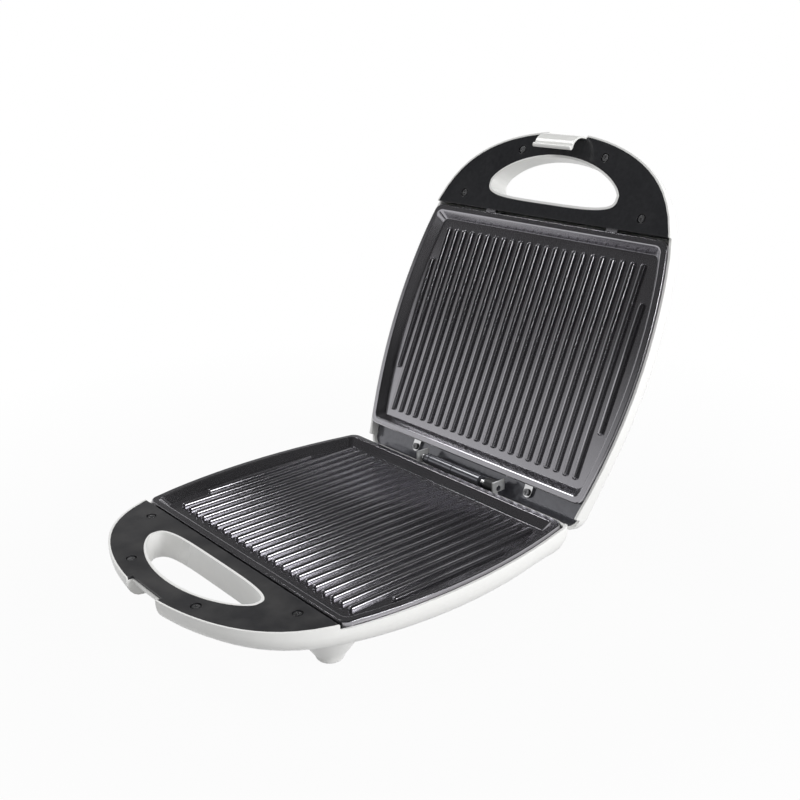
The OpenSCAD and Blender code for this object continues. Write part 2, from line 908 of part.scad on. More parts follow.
module lid_hinge_cover() {
    color(near_black)
    in_lid()
    difference() {
        union() {
            rear_strip(lid_tail, lid_corner_r);
            translate([barrel_x[0], 0, -axis_drop])
            rotate([0, 90, 0])
            cylinder(d = barrel_d, h = barrel_x[1] - barrel_x[0]);
            translate([barrel_x[0], -barrel_web / 2, 0])
            cube([barrel_x[1] - barrel_x[0], barrel_web, strip_depth + strip_t]);
        }
        translate([barrel_x[0] - over, 0, -axis_drop])
        rotate([0, 90, 0])
        cylinder(r = pin_d / 2 + pin_gap, h = barrel_x[1] - barrel_x[0] + 2 * over);
        for (x = [barrel_x[0] + 4, (barrel_x[0] + barrel_x[1]) / 2]) {
            translate([x, 0, -axis_drop])
            rotate([0, 90, 0])
            difference() {
                cylinder(d = barrel_d + over, h = groove_w);
                cylinder(d = barrel_d - 2 * groove_depth, h = groove_w);
            }
        }
        both_sides()
        at([lug_x, lug_reach], 0)
        cylinder(r = lug_hole_r, h = 2 * strip_depth);
    }
}

barrel_web = 5;

module hinge_bracket() {
    color(steel)
    in_base()
    difference() {
        union() {
            both_sides()
            translate([ear_x, 0, 0]) {
                translate([0, -ear_front, axis_drop - ear_top])
                cube([ear_t, ear_front + ear_rear, ear_top + ear_foot]);
                translate([0, -leg_front, axis_drop])
                cube([ear_t, leg_front - web_span[0], web_depth + ear_t - axis_drop]);
            }
            span_box(ear_x + ear_t, web_span, [web_depth, web_depth + ear_t]);
        }
        translate([-2 * ear_x, 0, axis_drop])
        rotate([0, 90, 0])
        cylinder(d = pin_d, h = 4 * ear_x);
        both_sides()
        at([bracket_screw_x, bracket_reach], 0)
        cylinder(r = pilot_r + snug, h = 2 * web_depth);
    }
}

module bracket_screws() {
    color(steel)
    in_base()
    both_sides()
    at([bracket_screw_x, bracket_reach], web_depth)
    screw(bracket_screw_l);
}

module hinge_pin() {
    length = 2 * (ear_x + ear_t);
    color(steel)
    in_base()
    translate([-length / 2, 0, axis_drop])
    rotate([0, 90, 0])
    difference() {
        cylinder(d = pin_d, h = length);
        translate([0, 0, length / 2 + clip_x])
        difference() {
            cylinder(d = pin_d + over, h = clip_t);
            cylinder(d = clip_groove_d, h = clip_t);
        }
    }
}

module pin_clip() {
    color(steel)
    in_base()
    translate([clip_x, 0, axis_drop])
    rotate([0, 90, 0])
    difference() {
        cylinder(d = pin_d + 2 * clip_band, h = clip_t);
        translate([0, 0, -over])
        cylinder(d = clip_groove_d, h = clip_t + 2 * over);
        translate([0, clip_mouth - clip_groove_d / 2, -over])
        cube([pin_d + clip_band, clip_groove_d - 2 * clip_mouth, clip_t + 2 * over]);
    }
}

module hinge_bush() {
    color("#1d1e20")
    in_base()
    translate([barrel_x[1] + stub_gap, 0, axis_drop])
    rotate([0, 90, 0])
    difference() {
        cylinder(d = bush_d, h = bush_l);
        translate([0, 0, -over])
        cylinder(d = pin_d, h = bush_l + 2 * over);
    }
}

module foot_pads() {
    color(rubber)
    in_base()
    both_sides()
    for (p = feet) {
        at(p, part_height - pad_out - pad_seat)
        cylinder(r = pad_r, h = pad_out + pad_seat);
    }
}

module cord_inlet() {
    color(charcoal)
    in_base()
    at(inlet, base_depth - wall - inlet_end)
    difference() {
        union() {
            cylinder(r = inlet_r, h = wall + 2 * inlet_end);
            translate([0, 0, wall + inlet_end])
            cylinder(r = inlet_r + inlet_flange, h = inlet_end);
            cylinder(r = inlet_r + inlet_collar, h = inlet_end - face_gap);
        }
        translate([0, 0, -over])
        cylinder(r = inlet_bore_r, h = wall + 2 * inlet_end + 2 * over);
    }
}

module terminal_block() {
    color("#dcd8cc")
    in_base()
    difference() {
        at(block_at, base_depth - wall - block[2])
        cube(block);
        for (i = [-1:1]) {
            at([block_at[0] + block[0] / 2 + i * block_pitch, block_at[1] - block[1] / 2],
                base_depth - wall - block[2] - over)
            cylinder(r = block_hole_r, h = block_hole_depth + over);
        }
    }
}

block_at = [-14, 40];
block = [26, 13, 10];
block_pitch = 8;
block_hole_r = 2;
block_hole_depth = 4;

module thermal_fuse() {
    color("#d8d2c0")
    in_base()
    translate([-fuse_x, -fuse_reach, sheet_depth + sheet_t + fuse_r])
    rotate([0, 90, 0])
    cylinder(r = fuse_r, h = fuse_l);
}

fuse_x = 60;
fuse_reach = 100;
fuse_r = 2.2;
fuse_l = 44;

module base_wiring() {
    color("#e7e3d6")
    in_base() {
        both_sides()
        translate([0, 0, heater_depth])
        run([heater_end_x, -heater_end_reach + terminal_l, 0], [heater_end_x, -wire_end, 0], wire_r);
    }
}

module thermostat() {
    color("#c9b48a")
    in_lid()
    at([0, window_reach], under_depth) {
        cylinder(r = thermostat_r, h = thermostat_h);
        translate([0, 0, thermostat_h])
        cylinder(r = thermostat_cap_r, h = thermostat_cap_h);
    }
}

thermostat_r = 9;
thermostat_h = 7;
thermostat_cap_r = 6;
thermostat_cap_h = 3;

module lid_wiring() {
    color("#e7e3d6")
    in_lid() {
        both_sides()
        translate([0, 0, heater_depth])
        run([heater_end_x, -heater_end_reach + terminal_l, 0], [heater_end_x, -wire_end, 0], wire_r);
    }
}

module lamp() {
    translate([0, 0, lid_depth - wall - face_gap - lamp_flange_h]) {
        cylinder(r = lamp_r + lamp_flange_w, h = lamp_flange_h);
        cylinder(r = lamp_r, h = lamp_flange_h + face_gap + wall + lamp_out);
    }
}

module power_lamp() {
    color("#b3231f")
    in_lid()
    at([-lamp_x, lamp_reach], 0)
    lamp();
}

module ready_lamp() {
    color("#2f9a48")
    in_lid()
    at([lamp_x, lamp_reach], 0)
    lamp();
}

// section of the latch: head round the pin, face, and the quarter ellipse that wraps the handle
module latch_section() {
    a = wrap_outer[0];
    b = wrap_outer[1];
    translate([-latch_pin_reach, latch_pin_depth])
    circle(r = latch_r);
    translate([-tip_reach, -b + latch_t - bead_r])
    circle(r = bead_r);
    polygon(concat(
        [for (i = [0:5:90]) [-wrap_reach - a * cos(i), -b * sin(i)]],
        [[-tip_reach, -b], [-tip_reach, -b + latch_t]],
        [for (i = [90:-5:0]) [-wrap_reach - (a - latch_t) * cos(i), -(b - latch_t) * sin(i)]],
        [[-wrap_reach - a + latch_t, latch_pin_depth], [-wrap_reach - a, latch_pin_depth]]));
}

module latch() {
    color(white)
    in_lid()
    difference() {
        translate([-latch_half_w, 0, 0])
        rotate([90, 0, 90])
        linear_extrude(2 * latch_half_w)
        latch_section();
        translate([-2 * latch_half_w, -latch_pin_reach, latch_pin_depth])
        rotate([0, 90, 0])
        cylinder(r = latch_pin_d / 2 + pin_gap, h = 4 * latch_half_w);
    }
}

module latch_pin() {
    color(steel)
    in_lid()
    translate([-recess_half_w - wall, -latch_pin_reach, latch_pin_depth])
    rotate([0, 90, 0])
    cylinder(d = latch_pin_d, h = 2 * (recess_half_w + wall));
}

base_shell();
base_handle_cover();
base_rear_cover();
lower_plate();
lower_element();
lower_reflector();
lower_reflector_screws();
base_plate_screws();
base_cover_screws();
foot_pads();
cord_inlet();
terminal_block();
thermal_fuse();
base_wiring();
hinge_bracket();
bracket_screws();
hinge_pin();
pin_clip();
hinge_bush();
lid_shell();
lid_handle_cover();
lid_hinge_cover();
upper_plate();
upper_element();
upper_reflector();
upper_reflector_screws();
lid_plate_screws();
lid_cover_screws();
thermostat();
lid_wiring();
power_lamp();
ready_lamp();
latch();
latch_pin();
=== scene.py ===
"""Looks of an open sandwich toaster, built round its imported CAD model."""
import json
import logging
import math
from dataclasses import dataclass, field
from enum import Enum

import bmesh
import bpy
from mathutils import Matrix, Vector


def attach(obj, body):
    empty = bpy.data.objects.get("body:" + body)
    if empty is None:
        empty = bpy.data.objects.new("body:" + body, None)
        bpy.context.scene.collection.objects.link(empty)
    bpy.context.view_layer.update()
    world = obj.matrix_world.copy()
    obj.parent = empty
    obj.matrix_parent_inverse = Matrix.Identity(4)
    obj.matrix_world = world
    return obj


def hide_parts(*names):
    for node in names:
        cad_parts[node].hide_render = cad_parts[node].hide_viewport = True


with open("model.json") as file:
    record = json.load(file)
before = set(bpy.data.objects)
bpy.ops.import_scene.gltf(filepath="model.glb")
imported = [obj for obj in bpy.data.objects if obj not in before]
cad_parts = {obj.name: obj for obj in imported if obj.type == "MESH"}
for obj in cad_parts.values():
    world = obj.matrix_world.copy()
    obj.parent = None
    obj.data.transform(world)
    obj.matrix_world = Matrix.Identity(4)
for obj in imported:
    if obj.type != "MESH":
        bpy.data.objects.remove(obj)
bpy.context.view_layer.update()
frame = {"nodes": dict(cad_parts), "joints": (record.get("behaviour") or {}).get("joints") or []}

log = logging.getLogger("toaster")
Colour = tuple[float, float, float]
Vector3 = tuple[float, float, float]
Socket = bpy.types.NodeSocket
Outputs = bpy.types.NodeOutputs
MM = 0.001
WELD = 0.002 * MM
FACE_DEPTH = 0.01 * MM
FLAT_TURN = math.radians(0.5)
RIM_TURN = math.radians(40)
DUST_COLOUR = (0.62, 0.60, 0.56, 1.0)
# Lighter grey on the plates' edges: partly coating rubbed thin by wiping, partly a painted highlight along
# the rims.
RUBBED_COATING_AND_RIM_HIGHLIGHT = (0.45, 0.45, 0.47, 1.0)


class Body(Enum):
    """The bodies that pieces ride on."""

    BASE = "base"
    LID = "lid"
    LATCH = "latch"


class Half(Enum):
    """The two halves, each with its own cooking plate."""

    LOWER = "lower"
    UPPER = "upper"


def rgba(colour: Colour) -> tuple[float, float, float, float]:
    """Return a colour with full cover."""
    return (*colour, 1.0)


class Graph:
    """Adds and joins the nodes of one node tree."""

    def __init__(self, tree: bpy.types.NodeTree) -> None:
        """Keep the tree that the nodes go into."""
        self.tree = tree

    def feed(self, node: bpy.types.Node, key: str | int, value: object) -> None:
        """Set an input to a value, or join it to a source.

        Args:
            node: The node with the input.
            key: Name or number of the input.
            value: A number, colour or vector, or an output socket.
        """
        socket = node.inputs[key]
        if isinstance(value, Socket):
            self.tree.links.new(value, socket)
        else:
            socket.default_value = value

    def add(
        self, kind: str, values: dict[str | int, object] | None = None, **settings: object
    ) -> bpy.types.Node:
        """Add one node.

        Args:
            kind: The node's type, without the prefix that all share.
            values: What its inputs get.
            settings: Attributes set on the node.

        Returns:
            The new node.
        """
        node = self.tree.nodes.new("ShaderNode" + kind)
        for key, value in settings.items():
            setattr(node, key, value)
        for key, value in (values or {}).items():
            self.feed(node, key, value)
        return node

    def maths(self, operation: str, first: object, second: object = 0.0, clamp: bool = False) -> Socket:
        """Return the result of one sum on two values."""
        return self.add("Math", {0: first, 1: second}, operation=operation, use_clamp=clamp).outputs[0]

    def spread(
        self, value: object, low: float, high: float, to_low: float = 0.0, to_high: float = 1.0
    ) -> Socket:
        """Map a value from one range to another, and stop at its ends.

        Args:
            value: The value that is mapped.
            low: Start of its range.
            high: End of its range.
            to_low: What the start becomes.
            to_high: What the end becomes.

        Returns:
            The mapped value.
        """
        inputs = {"Value": value, "From Min": low, "From Max": high, "To Min": to_low, "To Max": to_high}
        return self.add("MapRange", inputs, clamp=True).outputs[0]

    def blend(self, share: object, first: object, second: object) -> Socket:
        """Return a colour between two, by a share of the second."""
        return self.add("Mix", {0: share, 6: first, 7: second}, data_type="RGBA").outputs[2]

    def noise(self, place: object, scale: object, detail: float, distortion: float = 0.0) -> Socket:
        """Return a soft noise over the surface."""
        inputs = {"Vector": place, "Scale": scale, "Detail": detail, "Distortion": distortion}
        return self.add("TexNoise", inputs).outputs[0]

    def along(self, place: object, axis: object) -> Socket:
        """Return how far a place lies along an axis, or how far two directions agree."""
        other = axis if isinstance(axis, Socket) else tuple(axis)
        return self.add("VectorMath", {0: place, 1: other}, operation="DOT_PRODUCT").outputs["Value"]


class Effects:
    """Node groups that several finishes share, each built once."""

    def __init__(self) -> None:
        """Build every group."""
        self.groups: dict[str, bpy.types.NodeTree] = {}
        self._smudges()
        self._mould_grain()
        self._flecks()
        self._edge_wear()
        self._brush_marks()
        self._dust()

    def place(self, graph: Graph, name: str, **inputs: object) -> Outputs:
        """Put a group into a material.

        Args:
            graph: The material's graph.
            name: The group's name.
            inputs: What its inputs get.

        Returns:
            The group's outputs.
        """
        node = graph.add("Group", node_tree=self.groups[name])
        for key, value in inputs.items():
            graph.feed(node, key, value)
        return node.outputs

    def _begin(
        self, name: str, inputs: dict[str, float | None], outputs: tuple[str, ...]
    ) -> tuple[Graph, Outputs, bpy.types.Node]:
        """Start a group with its sockets.

        Args:
            name: The group's name.
            inputs: Value of each number input, or None for a vector.
            outputs: Names of the outputs, where Normal is a vector.

        Returns:
            The graph, the outputs of its input node and its output node.
        """
        tree = bpy.data.node_groups.new(name, "ShaderNodeTree")
        for key, value in inputs.items():
            kind = "NodeSocketVector" if value is None else "NodeSocketFloat"
            socket = tree.interface.new_socket(key, in_out="INPUT", socket_type=kind)
            if value is not None:
                socket.default_value = value
        for key in outputs:
            kind = "NodeSocketVector" if key == "Normal" else "NodeSocketFloat"
            tree.interface.new_socket(key, in_out="OUTPUT", socket_type=kind)
        self.groups[name] = tree
        source = tree.nodes.new("NodeGroupInput")
        end = tree.nodes.new("NodeGroupOutput")
        return Graph(tree), source.outputs, end

    def _smudges(self) -> None:
        """Build slow, cloudy changes such as handling leaves on plastic."""
        graph, given, end = self._begin("smudges", {"Vector": None, "Scale": 14.0}, ("Value",))
        cloud = graph.noise(given["Vector"], given["Scale"], 4.0, 0.3)
        graph.feed(end, "Value", graph.spread(cloud, 0.2, 0.8))

    def _mould_grain(self) -> None:
        """Build the fine grain that a mould's surface leaves."""
        inputs = {"Vector": None, "Scale": 1500.0}
        graph, given, end = self._begin("mould grain", inputs, ("Height", "Tone"))
        fine = graph.noise(given["Vector"], given["Scale"], 2.0)
        slow = graph.noise(given["Vector"], graph.maths("MULTIPLY", given["Scale"], 0.16), 2.0)
        height = graph.maths("ADD", fine, graph.maths("MULTIPLY", slow, 0.8))
        graph.feed(end, "Height", height)
        graph.feed(end, "Tone", graph.spread(slow, 0.35, 0.65))

    def _flecks(self) -> None:
        """Build scattered round flecks, as in a non-stick coating."""
        inputs = {"Vector": None, "Scale": 900.0, "Share": 0.4}
        graph, given, end = self._begin("flecks", inputs, ("Mask", "Height"))
        cells = graph.add("TexVoronoi", {"Vector": given["Vector"], "Scale": given["Scale"]})
        pick = graph.add("SeparateColor", {0: cells.outputs["Color"]}).outputs
        chosen = graph.maths("LESS_THAN", pick[0], given["Share"])
        reach = graph.spread(pick[1], 0.0, 1.0, 0.16, 0.46)
        inside = graph.maths("SUBTRACT", reach, cells.outputs["Distance"])
        dot = graph.spread(inside, 0.0, 0.12)
        mask = graph.maths("MULTIPLY", chosen, dot)
        graph.feed(end, "Mask", mask)
        graph.feed(end, "Height", mask)

    def _edge_wear(self) -> None:
        """Build rounded edges, and a mask for where hands and wiping rub them; on the plates the mask also
        carries a painted highlight along the rims.
        """
        inputs = {"Vector": None, "Radius": 0.5 * MM, "Amount": 1.0}
        graph, given, end = self._begin("edge wear", inputs, ("Mask", "Normal"))
        bevel = graph.add("Bevel", {"Radius": given["Radius"]}, samples=8)
        flat = graph.add("NewGeometry").outputs["Normal"]
        agree = graph.along(bevel.outputs[0], flat)
        turn = graph.spread(graph.maths("SUBTRACT", 1.0, agree), 0.01, 0.22)
        broken = graph.spread(graph.noise(given["Vector"], 160.0, 4.0), 0.35, 0.7)
        mask = graph.maths("MULTIPLY", graph.maths("MULTIPLY", turn, broken), given["Amount"], clamp=True)
        graph.feed(end, "Mask", mask)
        graph.feed(end, "Normal", bevel.outputs[0])

    def _brush_marks(self) -> None:
        """Build fine lines along one direction of drawn or rolled metal."""
        graph, given, end = self._begin("brush marks", {"Vector": None, "Scale": 1.0}, ("Height", "Tone"))
        fine = graph.noise(given["Vector"], graph.maths("MULTIPLY", given["Scale"], 900.0), 3.0)
        slow = graph.noise(given["Vector"], graph.maths("MULTIPLY", given["Scale"], 130.0), 2.0)
        graph.feed(end, "Height", fine)
        graph.feed(end, "Tone", graph.spread(graph.maths("ADD", fine, slow), 0.7, 1.3))

    def _dust(self) -> None:
        """Build a thin, broken film of dust on faces that look up."""
        graph, given, end = self._begin("dust", {"Vector": None, "Amount": 0.2}, ("Mask",))
        normal = graph.add("TexCoord").outputs["Normal"]
        upward = graph.spread(graph.along(normal, Vector((0.0, 0.0, 1.0))), 0.2, 1.0)
        cloud = graph.spread(graph.noise(given["Vector"], 45.0, 5.0), 0.4, 0.75)
        share = graph.maths("MULTIPLY", upward, cloud)
        graph.feed(end, "Mask", graph.maths("MULTIPLY", share, given["Amount"]))


@dataclass(frozen=True)
class Finish:
    """What every finish has in common."""

    name: str

    def begin(self) -> tuple[Graph, bpy.types.Node, Socket, bpy.types.Material]:
        """Start the material.

        Returns:
            Its graph, its shader, the object's coordinates and the material.
        """
        material = bpy.data.materials.new(self.name)
        material.use_nodes = True
        graph = Graph(material.node_tree)
        shader = material.node_tree.nodes["Principled BSDF"]
        place = graph.add("TexCoord").outputs["Object"]
        return graph, shader, place, material

    def relief(self, graph: Graph, shader: bpy.types.Node, **inputs: object) -> None:
        """Give the shader its relief.

        Args:
            graph: The material's graph.
            shader: The shader that gets the relief.
            inputs: What the relief's inputs get.
        """
        graph.feed(shader, "Normal", graph.add("Bump", inputs).outputs[0])

    def build(self, effects: Effects) -> bpy.types.Material:
        """Build the material; each finish does this its own way."""
        raise NotImplementedError(self.name)


@dataclass(frozen=True)
class MouldedPlastic(Finish):
    """Injection moulded plastic with grain, smudges and softened edges."""

    deep: Colour
    pale: Colour
    edge: Colour
    gloss: tuple[float, float] = (0.22, 0.36)
    grain_scale: float = 1500.0
    grain_depth: float = 0.02 * MM
    coat: float = 0.0
    metal: float = 0.0
    edge_radius: float = 0.5 * MM
    wear: float = 0.4
    dust: float = 0.1

    def build(self, effects: Effects) -> bpy.types.Material:
        """Build the plastic.

        Args:
            effects: The shared node groups.

        Returns:
            The material.
        """
        graph, shader, place, material = self.begin()
        smudge = effects.place(graph, "smudges", Vector=place, Scale=11.0)["Value"]
        grain = effects.place(graph, "mould grain", Vector=place, Scale=self.grain_scale)
        edge = effects.place(graph, "edge wear", Vector=place, Radius=self.edge_radius, Amount=self.wear)
        dust = effects.place(graph, "dust", Vector=place, Amount=self.dust)["Mask"]
        tone = graph.maths("MULTIPLY", graph.maths("ADD", smudge, grain["Tone"]), 0.5)
        colour = graph.blend(tone, rgba(self.deep), rgba(self.pale))
        colour = graph.blend(edge["Mask"], colour, rgba(self.edge))
        colour = graph.blend(dust, colour, DUST_COLOUR)
        graph.feed(shader, "Base Color", colour)
        rough = graph.spread(smudge, 0.0, 1.0, *self.gloss)
        graph.feed(shader, "Roughness", graph.maths("ADD", rough, graph.maths("MULTIPLY", dust, 0.4)))
        shader.inputs["Metallic"].default_value = self.metal
        shader.inputs["Coat Weight"].default_value = self.coat
        shader.inputs["Coat Roughness"].default_value = 0.08
        self.relief(
            graph, shader, Strength=0.5, Distance=self.grain_depth,
            Height=grain["Height"], Normal=edge["Normal"],
        )
        return material


@dataclass(frozen=True)
class CoatedCasting(Finish):
    """Cast aluminium under a speckled non-stick coating, bare at its fixing lugs."""

    reach_axis: Vector3
    bare_from: float
    coat_deep: Colour = (0.335, 0.328, 0.350)
    coat_pale: Colour = (0.375, 0.368, 0.392)
    fleck: Colour = (0.50, 0.50, 0.53)
    bare: Colour = (0.70, 0.70, 0.71)
    metal: float = 0.94
    gloss: tuple[float, float] = (0.14, 0.20)
    fleck_scale: float = 1150.0
    fleck_share: float = 0.28
    peel_height: float = 0.12
    fleck_height: float = 0.08
    relief_depth: float = 0.007 * MM
    bare_edge: float = 0.3 * MM
    bare_wander: float = 0.4 * MM

    def build(self, effects: Effects) -> bpy.types.Material:
        """Build the coating and the bare metal of the lugs.

        Args:
            effects: The shared node groups.

        Returns:
            The material.
        """
        graph, shader, place, material = self.begin()
        smudge = effects.place(graph, "smudges", Vector=place, Scale=19.0)["Value"]
        flecks = effects.place(graph, "flecks", Vector=place, Scale=self.fleck_scale, Share=0.34)
        fine = effects.place(graph, "flecks", Vector=place, Scale=self.fleck_scale * 2.3, Share=0.3)
        edge = effects.place(graph, "edge wear", Vector=place, Radius=0.4 * MM, Amount=0.35)
        peel = effects.place(graph, "mould grain", Vector=place, Scale=620.0)
        reach = graph.along(place, Vector(self.reach_axis))
        uneven = graph.spread(graph.noise(place, 300.0, 2.0), 0.0, 1.0, -self.bare_wander, self.bare_wander)
        edge_place = graph.maths("ADD", reach, uneven)
        bare = graph.spread(edge_place, self.bare_from, self.bare_from + self.bare_edge)
        colour = graph.blend(smudge, rgba(self.coat_deep), rgba(self.coat_pale))
        dots = graph.maths("MAXIMUM", flecks["Mask"], graph.maths("MULTIPLY", fine["Mask"], 0.6))
        colour = graph.blend(graph.maths("MULTIPLY", dots, self.fleck_share), colour, rgba(self.fleck))
        # Edges lighter: partly rubbed coating, partly a painted highlight along the rims.
        colour = graph.blend(edge["Mask"], colour, RUBBED_COATING_AND_RIM_HIGHLIGHT)
        colour = graph.blend(bare, colour, rgba(self.bare))
        graph.feed(shader, "Base Color", colour)
        graph.feed(shader, "Metallic", graph.spread(bare, 0.0, 1.0, self.metal, 1.0))
        unevenness = graph.maths("ADD", smudge, dots)
        graph.feed(shader, "Roughness", graph.spread(unevenness, 0.0, 2.0, *self.gloss))
        shader.inputs["Coat Weight"].default_value = 0.25
        shader.inputs["Coat Roughness"].default_value = 0.18
        peel_part = graph.maths("MULTIPLY", peel["Height"], self.peel_height)
        height = graph.maths("ADD", peel_part, graph.maths("MULTIPLY", dots, self.fleck_height))
        self.relief(
            graph, shader, Strength=0.5, Distance=self.relief_depth,
            Height=height, Normal=edge["Normal"],
        )
        return material


@dataclass(frozen=True)
class WorkedMetal(Finish):
    """Rolled, drawn or plated metal, with lines along one direction."""

    deep: Colour
    pale: Colour
    lines: Vector3 = (0.05, 1.0, 1.0)
    gloss: tuple[float, float] = (0.2, 0.36)
    line_depth: float = 0.02 * MM
    tint: Colour | None = None
    edge_radius: float = 0.25 * MM
    metal: float = 1.0

    def build(self, effects: Effects) -> bpy.types.Material:
        """Build the metal.

        Args:
            effects: The shared node groups.

        Returns:
            The material.
        """
        graph, shader, place, material = self.begin()
        drawn = graph.add("VectorMath", {0: place, 1: self.lines}, operation="MULTIPLY").outputs[0]
        marks = effects.place(graph, "brush marks", Vector=drawn, Scale=1.0)
        smudge = effects.place(graph, "smudges", Vector=place, Scale=60.0)["Value"]
        edge = effects.place(graph, "edge wear", Vector=place, Radius=self.edge_radius, Amount=0.5)
        colour = graph.blend(marks["Tone"], rgba(self.deep), rgba(self.pale))
        if self.tint is not None:
            heat = graph.spread(graph.noise(place, 22.0, 3.0, 0.8), 0.45, 0.72)
            colour = graph.blend(heat, colour, rgba(self.tint))
        colour = graph.blend(edge["Mask"], colour, rgba(tuple(min(1.0, c * 1.2) for c in self.pale)))
        graph.feed(shader, "Base Color", colour)
        shader.inputs["Metallic"].default_value = self.metal
        graph.feed(shader, "Roughness", graph.spread(smudge, 0.0, 1.0, *self.gloss))
        self.relief(
            graph, shader, Strength=0.4, Distance=self.line_depth,
            Height=marks["Height"], Normal=edge["Normal"],
        )
        return material


@dataclass(frozen=True)
class SoftRubber(Finish):
    """Matte rubber with bloom and dirt from the table."""

    deep: Colour
    pale: Colour

    def build(self, effects: Effects) -> bpy.types.Material:
        """Build the rubber.

        Args:
            effects: The shared node groups.

        Returns:
            The material.
        """
        graph, shader, place, material = self.begin()
        smudge = effects.place(graph, "smudges", Vector=place, Scale=90.0)["Value"]
        grain = effects.place(graph, "mould grain", Vector=place, Scale=1900.0)
        edge = effects.place(graph, "edge wear", Vector=place, Radius=0.3 * MM, Amount=0.6)
        colour = graph.blend(smudge, rgba(self.deep), rgba(self.pale))
        colour = graph.blend(edge["Mask"], colour, rgba(tuple(c * 0.6 for c in self.deep)))
        graph.feed(shader, "Base Color", colour)
        graph.feed(shader, "Roughness", graph.spread(grain["Tone"], 0.0, 1.0, 0.7, 0.9))
        self.relief(
            graph, shader, Strength=0.6, Distance=0.05 * MM,
            Height=grain["Height"], Normal=edge["Normal"],
        )
        return material


@dataclass(frozen=True)
class Ceramic(Finish):
    """Fired or filled insulating body with a dry, pitted surface, and painted shade in its pits."""

    deep: Colour
    pale: Colour

    def build(self, effects: Effects) -> bpy.types.Material:
        """Build the insulating body.

        Args:
            effects: The shared node groups.

        Returns:
            The material.
        """
        graph, shader, place, material = self.begin()
        smudge = effects.place(graph, "smudges", Vector=place, Scale=70.0)["Value"]
        pits = effects.place(graph, "flecks", Vector=place, Scale=1300.0, Share=0.3)
        edge = effects.place(graph, "edge wear", Vector=place, Radius=0.3 * MM, Amount=0.5)
        colour = graph.blend(smudge, rgba(self.deep), rgba(self.pale))
        # The pits are painted darker: painted shade in the pits.
        pit_shade_colour = rgba(tuple(c * 0.5 for c in self.deep))
        colour = graph.blend(graph.maths("MULTIPLY", pits["Mask"], 0.5), colour, pit_shade_colour)
        graph.feed(shader, "Base Color", colour)
        graph.feed(shader, "Roughness", graph.spread(smudge, 0.0, 1.0, 0.5, 0.75))
        depth = graph.maths("MULTIPLY", pits["Height"], -1.0)
        self.relief(
            graph, shader, Strength=0.5, Distance=0.08 * MM,
            Height=depth, Normal=edge["Normal"],
        )
        return material


@dataclass(frozen=True)
class WovenSleeve(Finish):
    """Glass fibre sleeve with crossing threads."""

    deep: Colour = (0.50, 0.47, 0.40)
    pale: Colour = (0.84, 0.81, 0.72)

    def build(self, effects: Effects) -> bpy.types.Material:
        """Build the sleeve.

        Args:
            effects: The shared node groups.

        Returns:
            The material.
        """
        graph, shader, place, material = self.begin()
        threads = []
        for lean in (0.6, -0.6):
            turned = graph.add("Mapping", {"Vector": place, "Rotation": (lean, 0.0, lean)}).outputs[0]
            inputs = {"Vector": turned, "Scale": 420.0, "Distortion": 0.4}
            threads.append(graph.add("TexWave", inputs, bands_direction="DIAGONAL").outputs[1])
        weave = graph.maths("MAXIMUM", *threads)
        smudge = effects.place(graph, "smudges", Vector=place, Scale=80.0)["Value"]
        share = graph.maths("MULTIPLY", weave, graph.spread(smudge, 0.0, 1.0, 0.7, 1.0))
        graph.feed(shader, "Base Color", graph.blend(share, rgba(self.deep), rgba(self.pale)))
        graph.feed(shader, "Roughness", graph.spread(weave, 0.0, 1.0, 0.9, 0.65))
        self.relief(graph, shader, Strength=0.8, Distance=0.1 * MM, Height=weave)
        return material


@dataclass(frozen=True)
class TintedLens(Finish):
    """Coloured clear plastic of an indicator lamp, unlit."""

    deep: Colour
    pale: Colour

    def build(self, effects: Effects) -> bpy.types.Material:
        """Build the lens.

        Args:
            effects: The shared node groups.

        Returns:
            The material.
        """
        graph, shader, place, material = self.begin()
        smudge = effects.place(graph, "smudges", Vector=place, Scale=300.0)["Value"]
        rim = graph.add("LayerWeight", {"Blend": 0.35}).outputs["Facing"]
        share = graph.maths("MAXIMUM", rim, graph.maths("MULTIPLY", smudge, 0.35))
        graph.feed(shader, "Base Color", graph.blend(share, rgba(self.pale), rgba(self.deep)))
        graph.feed(shader, "Roughness", graph.spread(smudge, 0.0, 1.0, 0.06, 0.16))
        shader.inputs["Subsurface Weight"].default_value = 0.2
        shader.inputs["Subsurface Radius"].default_value = (0.002, 0.001, 0.001)
        shader.inputs["Coat Weight"].default_value = 0.5
        return material


@dataclass
class Geometry:
    """Where the halves lie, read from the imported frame."""

    hinge: Vector = field(default_factory=lambda: Vector(_joint("lid_hinge")["pos_m"]))
    opening: float = field(default_factory=lambda: _swing("lid_hinge"))

    def reach_axis(self, half: Half) -> Vector:
        """Return the direction from the hinge towards a half's handle."""
        if half is Half.LOWER:
            return Vector((0.0, -1.0, 0.0))
        return Vector((0.0, -math.cos(self.opening), math.sin(self.opening)))

    def outward(self, half: Half) -> Vector:
        """Return the direction from a half's plate towards its outside."""
        if half is Half.LOWER:
            return Vector((0.0, 0.0, -1.0))
        return Vector((0.0, math.sin(self.opening), math.cos(self.opening)))

    def lid_turn(self) -> Matrix:
        """Return the turn that sets an upright shape square on the lid's outside."""
        across = Vector((1.0, 0.0, 0.0))
        out = self.outward(Half.UPPER)
        along = out.cross(across)
        return Matrix((across, along, out)).transposed().to_4x4()


def _joint(name: str) -> dict:
    """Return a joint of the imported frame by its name."""
    return next(joint for joint in frame["joints"] if joint["name"] == name)


def _swing(name: str) -> float:
    """Return the full swing of a joint, in radians."""
    joint = _joint(name)
    limits = joint.get("range_deg") or [math.degrees(value) for value in joint["range_rad"]]
    return math.radians(limits[1] - limits[0])


